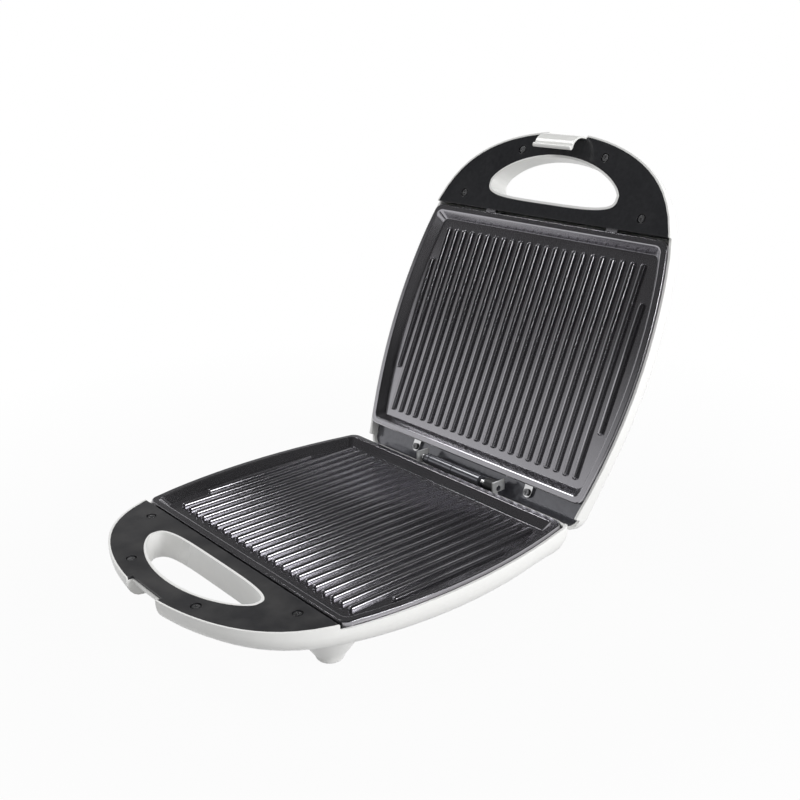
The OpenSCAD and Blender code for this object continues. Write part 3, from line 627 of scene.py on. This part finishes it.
def extreme_middle(node: str, direction: Vector) -> Vector:
    """Find the middle of a CAD node's outermost face.

    Args:
        node: The CAD node's name.
        direction: The direction in which the face lies furthest out.

    Returns:
        The mean place of the face's corners.
    """
    corners = [vertex.co for vertex in frame["nodes"][node].data.vertices]
    furthest = max(corner.dot(direction) for corner in corners)
    face = [corner for corner in corners if furthest - corner.dot(direction) < FACE_DEPTH]
    return sum(face, Vector()) / len(face)


def finish_mesh(shape: bmesh.types.BMesh, name: str, sharp: float) -> bpy.types.Object:
    """Turn a bmesh into an object with smooth faces and sharp edges.

    Args:
        shape: The finished shape, which is freed.
        name: The piece's name.
        sharp: Angle past which an edge stays sharp, in degrees.

    Returns:
        The new object, at the origin.
    """
    for face in shape.faces:
        face.smooth = True
    for edge in shape.edges:
        edge.smooth = edge.is_manifold and edge.calc_face_angle(0.0) < math.radians(sharp)
    mesh = bpy.data.meshes.new(name)
    shape.to_mesh(mesh)
    shape.free()
    piece = bpy.data.objects.new(name, mesh)
    bpy.context.scene.collection.objects.link(piece)
    return piece


def turned_shape(profile: list[tuple[float, float]], steps: int) -> bmesh.types.BMesh:
    """Turn a profile round the upright axis.

    Args:
        profile: Radius and height of each point, from one end to the other.
        steps: Number of steps in the full turn.

    Returns:
        The turned shape with its normals outwards.
    """
    shape = bmesh.new()
    points = [shape.verts.new((radius, 0.0, height)) for radius, height in profile]
    for start, end in zip(points, points[1:]):
        shape.edges.new((start, end))
    bmesh.ops.spin(
        shape, geom=shape.verts[:] + shape.edges[:], cent=(0, 0, 0), axis=(0, 0, 1), dvec=(0, 0, 0),
        angle=2 * math.pi, steps=steps, use_merge=True,
    )
    bmesh.ops.remove_doubles(shape, verts=shape.verts, dist=WELD)
    bmesh.ops.recalc_face_normals(shape, faces=shape.faces)
    return shape


@dataclass
class SoftenedPart:
    """A copy of a CAD node with joined faces, smooth curves and rounded edges."""

    node: str
    name: str
    body: Body
    slot: str
    bevel: float = 0.0
    sharp: float = 20.0

    def build(self) -> bpy.types.Object:
        """Build the copy, which stands for its node.

        Returns:
            The piece, riding on its body.
        """
        shape = bmesh.new()
        shape.from_mesh(frame["nodes"][self.node].data)
        bmesh.ops.remove_doubles(shape, verts=shape.verts, dist=WELD)
        if self.bevel:
            bmesh.ops.dissolve_limit(
                shape, angle_limit=FLAT_TURN, use_dissolve_boundaries=False,
                verts=shape.verts, edges=shape.edges, delimit=set(),
            )
            edges = [e for e in shape.edges if e.is_manifold and e.calc_face_angle(0.0) > RIM_TURN]
            bmesh.ops.bevel(
                shape, geom=edges, offset=self.bevel, offset_type="OFFSET", segments=2, profile=0.5,
                affect="EDGES", clamp_overlap=True, material=-1,
            )
        piece = finish_mesh(shape, self.name, self.sharp)
        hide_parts(self.node)
        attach(piece, self.body.value)
        return piece


@dataclass
class Paintshop:
    """Builds each finish once and puts it on pieces and nodes."""

    effects: Effects
    made: dict[str, bpy.types.Material] = field(default_factory=dict)

    def paint(self, piece: bpy.types.Object, finish: Finish) -> None:
        """Give a piece one finish.

        Args:
            piece: The piece or CAD node.
            finish: What it gets.
        """
        if finish.name not in self.made:
            self.made[finish.name] = finish.build(self.effects)
        slots = piece.data.materials
        if len(slots):
            for index in range(len(slots)):
                slots[index] = self.made[finish.name]
        else:
            slots.append(self.made[finish.name])
        log.info("%s has the finish %s", piece.name, finish.name)

    def paint_nodes(self, finish: Finish, *nodes: str) -> None:
        """Give CAD nodes that stay one finish."""
        for node in nodes:
            self.paint(frame["nodes"][node], finish)


WHITE_HOUSING = MouldedPlastic(
    "white_moulded_plastic", deep=(0.875, 0.875, 0.86), pale=(0.90, 0.90, 0.885), edge=(0.96, 0.96, 0.95),
    gloss=(0.26, 0.34), grain_scale=900.0, grain_depth=0.008 * MM, edge_radius=0.45 * MM, wear=0.3,
    dust=0.01,
)
WHITE_LATCH = MouldedPlastic(
    "white_glossy_plastic", deep=(0.85, 0.85, 0.83), pale=(0.92, 0.92, 0.90), edge=(0.97, 0.97, 0.96),
    gloss=(0.14, 0.24), grain_scale=900.0, grain_depth=0.006 * MM, coat=0.15, edge_radius=0.4 * MM,
    wear=0.3, dust=0.02,
)
CHARCOAL_COVER = MouldedPlastic(
    "charcoal_satin_plastic", deep=(0.013, 0.013, 0.015), pale=(0.021, 0.021, 0.024),
    edge=(0.10, 0.10, 0.11), gloss=(0.26, 0.42), grain_scale=1700.0, grain_depth=0.03 * MM,
    edge_radius=0.4 * MM, wear=0.5, dust=0.05,
)
BLACK_COVER = MouldedPlastic(
    "near_black_plastic", deep=(0.019, 0.0195, 0.022), pale=(0.028, 0.0285, 0.032),
    edge=(0.10, 0.10, 0.11), gloss=(0.16, 0.25), grain_scale=1700.0, grain_depth=0.03 * MM,
    edge_radius=0.4 * MM, wear=0.5, dust=0.02,
)
SHINY_STRIP = MouldedPlastic(
    "glossy_dark_strip", deep=(0.115, 0.116, 0.132), pale=(0.150, 0.152, 0.172), edge=(0.30, 0.30, 0.32),
    gloss=(0.14, 0.22), grain_scale=1500.0, grain_depth=0.004 * MM, coat=0.7, metal=0.45,
    edge_radius=0.4 * MM, wear=0.5, dust=0.02,
)
BLACK_BUSH = MouldedPlastic(
    "black_nylon", deep=(0.010, 0.010, 0.011), pale=(0.020, 0.020, 0.022), edge=(0.06, 0.06, 0.065),
    gloss=(0.35, 0.5), grain_scale=1400.0, grain_depth=0.03 * MM, edge_radius=0.3 * MM, wear=0.5, dust=0.05,
)
BEZEL = MouldedPlastic(
    "lamp_bezel_plastic", deep=(0.30, 0.30, 0.31), pale=(0.38, 0.38, 0.39), edge=(0.6, 0.6, 0.6),
    gloss=(0.18, 0.3), grain_scale=1400.0, grain_depth=0.01 * MM, edge_radius=0.15 * MM, wear=0.4, dust=0.0,
)
BRACKET_STEEL = WorkedMetal(
    "galvanised_sheet", deep=(0.66, 0.67, 0.67), pale=(0.80, 0.80, 0.80), gloss=(0.3, 0.45), metal=0.6
)
DRAWN_STEEL = WorkedMetal(
    "drawn_steel_rod", deep=(0.62, 0.62, 0.63), pale=(0.80, 0.80, 0.81), gloss=(0.14, 0.26)
)
ZINC_SCREWS = WorkedMetal(
    "zinc_plated_screws", deep=(0.16, 0.16, 0.165), pale=(0.30, 0.30, 0.31), lines=(1.0, 1.0, 0.2),
    gloss=(0.22, 0.38), edge_radius=0.15 * MM,
)
ALUMINISED = WorkedMetal(
    "aluminised_sheet", deep=(0.66, 0.66, 0.66), pale=(0.82, 0.82, 0.81), tint=(0.74, 0.66, 0.52)
)
HEATER_STEEL = WorkedMetal(
    "oxidised_heater_sheath", deep=(0.24, 0.23, 0.22), pale=(0.40, 0.38, 0.36), lines=(0.2, 1.0, 1.0),
    gloss=(0.35, 0.55), tint=(0.30, 0.22, 0.20),
)
# The pads' greys are set darker than the rubber's own light grey: painted shade, for the shade under the
# base.
PAD_RUBBER = SoftRubber("light_grey_rubber", deep=(0.33, 0.33, 0.32), pale=(0.43, 0.43, 0.415))
INLET_RUBBER = SoftRubber("black_soft_plastic", deep=(0.03, 0.03, 0.033), pale=(0.055, 0.055, 0.06))
CREAM_BLOCK = Ceramic("cream_insulating_plastic", deep=(0.66, 0.62, 0.52), pale=(0.78, 0.75, 0.67))
PALE_CERAMIC = Ceramic("glazed_ceramic", deep=(0.60, 0.55, 0.44), pale=(0.74, 0.70, 0.60))
RED_LENS = TintedLens("red_lens", deep=(0.22, 0.008, 0.006), pale=(0.62, 0.03, 0.02))
GREEN_LENS = TintedLens("green_lens", deep=(0.008, 0.15, 0.03), pale=(0.03, 0.46, 0.10))


@dataclass
class Housings:
    """The two white shells and what is fixed to them."""

    shell_sharp: float = 30.0

    def build(self, shop: Paintshop) -> None:
        """Build the shells and dress what is fixed to them.

        Args:
            shop: Where the finishes come from.
        """
        shells = (("base_shell", "lower_housing", Body.BASE), ("lid_shell", "lid_housing", Body.LID))
        for node, name, body in shells:
            piece = SoftenedPart(node, name, body, "housing", sharp=self.shell_sharp).build()
            shop.paint(piece, WHITE_HOUSING)
        shop.paint_nodes(PAD_RUBBER, "foot_pads")
        shop.paint_nodes(INLET_RUBBER, "cord_inlet")
        shop.paint_nodes(CREAM_BLOCK, "terminal_block")


@dataclass
class HandleCovers:
    """The dark covers over the handles, with rounded rims and screw wells."""

    rim: float = 0.3 * MM

    def build(self, shop: Paintshop) -> None:
        """Build both covers and dress the strips behind the plates.

        Args:
            shop: Where the finishes come from.
        """
        covers = (
            ("base_handle_cover", "lower_handle_cover", Body.BASE, "base_cover", CHARCOAL_COVER),
            ("lid_handle_cover", "upper_handle_cover", Body.LID, "lid_cover", BLACK_COVER),
        )
        for node, name, body, slot, finish in covers:
            piece = SoftenedPart(node, name, body, slot, bevel=self.rim).build()
            shop.paint(piece, finish)
        shop.paint_nodes(CHARCOAL_COVER, "base_rear_cover")
        shop.paint_nodes(SHINY_STRIP, "lid_hinge_cover")


@dataclass
class CookingPlates:
    """The two ribbed castings."""

    lug_start: float = 12.3 * MM

    def build(self, shop: Paintshop, geometry: Geometry) -> None:
        """Build both plates.

        Args:
            shop: Where the finishes come from.
            geometry: Where the halves lie.
        """
        plates = ((Half.LOWER, "lower_plate", Body.BASE), (Half.UPPER, "upper_plate", Body.LID))
        for half, node, body in plates:
            piece = SoftenedPart(node, f"{half.value}_ribbed_plate", body, "plate").build()
            backwards = -geometry.reach_axis(half)
            hinge_at = geometry.hinge.dot(backwards)
            finish = CoatedCasting(
                f"{half.value}_plate_coating",
                reach_axis=tuple(backwards),
                bare_from=hinge_at - self.lug_start,
            )
            shop.paint(piece, finish)


@dataclass
class Hinge:
    """Bracket, pin, bush and retaining ring."""

    sheet_edge: float = 0.2 * MM

    def build(self, shop: Paintshop) -> None:
        """Build the bracket and dress the rest.

        Args:
            shop: Where the finishes come from.
        """
        bracket = SoftenedPart(
            "hinge_bracket", "steel_hinge_bracket", Body.BASE, "bracket", bevel=self.sheet_edge
        )
        shop.paint(bracket.build(), BRACKET_STEEL)
        shop.paint_nodes(DRAWN_STEEL, "hinge_pin", "pin_clip", "latch_pin")
        shop.paint_nodes(BLACK_BUSH, "hinge_bush")


@dataclass
class ClipLatch:
    """The white clip that holds the handles together."""

    edge: float = 0.45 * MM

    def build(self, shop: Paintshop) -> None:
        """Build the clip.

        Args:
            shop: Where the finishes come from.
        """
        clip = SoftenedPart("latch", "white_clip", Body.LATCH, "latch", bevel=self.edge).build()
        shop.paint(clip, WHITE_LATCH)


@dataclass
class IndicatorLamps:
    """The two lamps in the lid, each with a domed lens and a bezel."""

    lens_r: float = 3.0 * MM
    dome: float = 0.6 * MM
    flange_r: float = 4.2 * MM
    flange_h: float = 1.4 * MM
    shown: float = 0.5 * MM
    bezel_r: float = 4.7 * MM
    bezel_h: float = 0.55 * MM
    bezel_gap: float = 0.12 * MM
    bezel_sunk: float = 0.3 * MM
    steps: int = 40

    def lens(self, depth: float) -> bmesh.types.BMesh:
        """Turn the lens.

        Args:
            depth: Full height of the CAD lamp.

        Returns:
            The lens with its front face at height 0.
        """
        angles = [i * math.pi / 14 for i in range(7)]
        dome = [(self.lens_r * math.cos(a), self.dome * math.sin(a)) for a in angles]
        flange_top = self.flange_h - depth
        flange = [(self.flange_r, -depth), (self.flange_r, flange_top), (self.lens_r, flange_top)]
        return turned_shape([(0.0, -depth), *flange, *dome, (0.0, self.dome)], self.steps)

    def bezel(self) -> bmesh.types.BMesh:
        """Turn the ring round the lens, with a rounded crown, its foot at height 0."""
        inner = self.lens_r + self.bezel_gap
        middle = 0.5 * (inner + self.bezel_r)
        half_width = 0.5 * (self.bezel_r - inner)
        crown = []
        for step in range(9):
            angle = step * math.pi / 8
            height = 0.3 * self.bezel_h + 0.7 * self.bezel_h * math.sin(angle)
            crown.append((middle - half_width * math.cos(angle), height))
        foot = -self.bezel_sunk
        profile = [(inner, foot), *crown, (self.bezel_r, foot), (inner, foot)]
        return turned_shape(profile, self.steps)

    def build(self, shop: Paintshop, geometry: Geometry) -> None:
        """Build both lamps.

        Args:
            shop: Where the finishes come from.
            geometry: Where the halves lie.
        """
        out = geometry.outward(Half.UPPER)
        turn = geometry.lid_turn()
        lamps = (("power_lamp", "red_lens", RED_LENS), ("ready_lamp", "green_lens", GREEN_LENS))
        for node, slot, finish in lamps:
            front = extreme_middle(node, out)
            back = extreme_middle(node, -out)
            place = Matrix.Translation(front) @ turn
            lens = self.lens((front - back).length)
            bmesh.ops.transform(lens, matrix=place, verts=lens.verts)
            piece = finish_mesh(lens, f"{node}_lens", 30.0)
            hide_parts(node)
            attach(piece, Body.LID.value)
            shop.paint(piece, finish)
            ring = self.bezel()
            surface = Matrix.Translation(front - out * self.shown) @ turn
            bmesh.ops.transform(ring, matrix=surface, verts=ring.verts)
            trim = finish_mesh(ring, f"{node}_bezel", 35.0)
            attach(trim, Body.LID.value)
            shop.paint(trim, BEZEL)


@dataclass
class InnerParts:
    """Heaters, reflectors, screws and wiring."""

    def build(self, shop: Paintshop) -> None:
        """Dress the inner parts.

        Args:
            shop: Where the finishes come from.
        """
        shop.paint_nodes(HEATER_STEEL, "lower_element", "upper_element")
        shop.paint_nodes(ALUMINISED, "lower_reflector", "upper_reflector")
        screws = [name for name in frame["nodes"] if name.endswith("screws")]
        shop.paint_nodes(ZINC_SCREWS, *screws)
        shop.paint_nodes(PALE_CERAMIC, "thermal_fuse", "thermostat")
        shop.paint_nodes(WovenSleeve("glass_fibre_sleeve"), "base_wiring", "lid_wiring")


@dataclass(frozen=True)
class SoftBox:
    """A soft studio lamp."""

    name: str
    place: Vector3
    aim: Vector3
    width: float
    height: float
    level: float

    def build(self) -> bpy.types.Object:
        """Build the lamp so that it adds its level to a white face turned to it.

        Returns:
            The lamp.
        """
        towards = Vector(self.aim) - Vector(self.place)
        lamp = bpy.data.lights.new(self.name, "AREA")
        lamp.shape = "RECTANGLE"
        lamp.size = self.width
        lamp.size_y = self.height
        lamp.energy = self.level * math.pi**2 * towards.length_squared
        holder = bpy.data.objects.new(self.name, lamp)
        holder.location = self.place
        holder.rotation_euler = towards.to_track_quat("-Z", "Y").to_euler()
        bpy.context.scene.collection.objects.link(holder)
        return holder


@dataclass
class Studio:
    """Pale floor, soft light, bright backdrop and the camera."""

    eye: Vector3 = (0.64895, -0.52061, 0.43162)
    yaw: float = 50.209
    pitch: float = 19.652
    roll: float = -1.465
    lens: float = 48.81
    floor_half: float = 9.0
    fade: tuple[float, float] = (0.3, 0.65)
    ambient: float = 0.57
    ceiling: float = 0.05
    ceiling_from: tuple[float, float] = (0.24, 0.38)
    far_side: float = 0.10
    far_side_from: tuple[float, float] = (-0.4, 0.2)
    floor_drop: float = 0.2 * MM
    floor_tone: float = 0.40
    white_share: float = 0.955
    lamps: tuple[SoftBox, ...] = (
        SoftBox("key_softbox", (-1.05, -0.20, 1.48), (0.0, 0.0, 0.1), 0.5, 0.5, 0.22),
        SoftBox("side_softbox", (1.45, 0.30, 0.62), (0.0, 0.0, 0.15), 0.7, 0.6, 0.62),
        SoftBox("rear_softbox", (-0.2, 1.2, 1.25), (0.0, 0.1, 0.1), 1.1, 0.5, 0.08),
    )

    def build(self) -> None:
        """Build the whole studio."""
        self.build_camera()
        self.build_world()
        self.build_floor()
        for lamp in self.lamps:
            lamp.build()

    def build_camera(self) -> None:
        """Set the camera where the photograph's edges place it."""
        yaw, pitch, roll = (math.radians(value) for value in (self.yaw, self.pitch, self.roll))
        level_share = math.cos(pitch)
        ahead = Vector((-math.sin(yaw) * level_share, math.cos(yaw) * level_share, -math.sin(pitch)))
        level = Vector((math.cos(yaw), math.sin(yaw), 0.0))
        upright = level.cross(ahead)
        right = math.cos(roll) * level + math.sin(roll) * upright
        up = -math.sin(roll) * level + math.cos(roll) * upright
        camera = bpy.data.cameras.new("camera")
        camera.lens = self.lens
        camera.sensor_width = 36.0
        camera.clip_start = 0.02
        holder = bpy.data.objects.new("camera", camera)
        turn = Matrix((right, up, -ahead)).transposed().to_4x4()
        holder.matrix_world = Matrix.Translation(self.eye) @ turn
        bpy.context.scene.collection.objects.link(holder)
        bpy.context.scene.camera = holder

    def seen(self, graph: Graph) -> Socket:
        """Return 1 where the camera sees a surface, straight or by way of metal or glass."""
        path = graph.add("LightPath").outputs
        shown = graph.maths("MAXIMUM", path["Is Camera Ray"], path["Is Glossy Ray"])
        return graph.maths("MAXIMUM", shown, path["Is Transmission Ray"])

    def build_world(self) -> None:
        """Build a white backdrop under a dim ceiling, and an even ambient light."""
        world = bpy.data.worlds.new("studio")
        bpy.context.scene.world = world
        world.use_nodes = True
        graph = Graph(world.node_tree)
        background = world.node_tree.nodes["Background"]
        path = graph.add("LightPath").outputs
        direction = graph.add("TexCoord").outputs["Generated"]
        height = graph.along(direction, Vector((0.0, 0.0, 1.0)))
        sweep = graph.spread(height, *self.ceiling_from, 1.0, self.ceiling)
        left = graph.along(direction, Vector((-1.0, 0.0, 0.0)))
        beside = graph.spread(left, *self.far_side_from, self.far_side, 1.0)
        sweep = graph.maths("MULTIPLY", sweep, beside)
        plain = graph.maths("MAXIMUM", path["Is Camera Ray"], path["Is Transmission Ray"])
        shiny = graph.maths("MULTIPLY", path["Is Glossy Ray"], sweep)
        bright = graph.maths("MAXIMUM", plain, shiny)
        reached = graph.maths("MAXIMUM", plain, path["Is Glossy Ray"])
        rest = graph.maths("MULTIPLY", graph.maths("SUBTRACT", 1.0, reached), self.ambient)
        background.inputs["Color"].default_value = (1.0, 1.0, 1.0, 1.0)
        graph.feed(background, "Strength", graph.maths("ADD", bright, rest))

    def build_floor(self) -> None:
        """Build the floor, which shows white and keeps the object's soft shadow."""
        shape = bmesh.new()
        bmesh.ops.create_grid(shape, x_segments=2, y_segments=2, size=self.floor_half)
        bmesh.ops.translate(shape, verts=shape.verts, vec=(0.0, 0.0, -self.floor_drop))
        floor = finish_mesh(shape, "studio_floor", 30.0)
        material = bpy.data.materials.new("white_floor")
        material.use_nodes = True
        tree = material.node_tree
        tree.nodes.remove(tree.nodes["Principled BSDF"])
        graph = Graph(tree)
        matt = graph.add("BsdfDiffuse", {"Color": (*[self.floor_tone] * 3, 1.0)}).outputs[0]
        white = graph.add("Emission", {"Color": (1.0, 1.0, 1.0, 1.0), "Strength": 1.0}).outputs[0]
        place = graph.add("TexCoord").outputs["Object"]
        away = graph.add("VectorMath", {0: place}, operation="LENGTH").outputs["Value"]
        white_here = graph.spread(away, *self.fade, self.white_share, 1.0)
        share = graph.maths("MULTIPLY", self.seen(graph), white_here)
        mixed = graph.add("MixShader", {0: share, 1: matt, 2: white}).outputs[0]
        graph.tree.links.new(mixed, tree.nodes["Material Output"].inputs["Surface"])
        floor.data.materials.append(material)


def main() -> None:
    """Build the toaster's looks and the studio round it."""
    logging.basicConfig(level=logging.INFO, format="%(name)s: %(message)s")
    bpy.context.scene.view_settings.view_transform = "Standard"
    geometry = Geometry()
    shop = Paintshop(Effects())
    Housings().build(shop)
    HandleCovers().build(shop)
    CookingPlates().build(shop, geometry)
    Hinge().build(shop)
    ClipLatch().build(shop)
    IndicatorLamps().build(shop, geometry)
    InnerParts().build(shop)
    Studio().build()


if __name__ == "__main__":
    main()
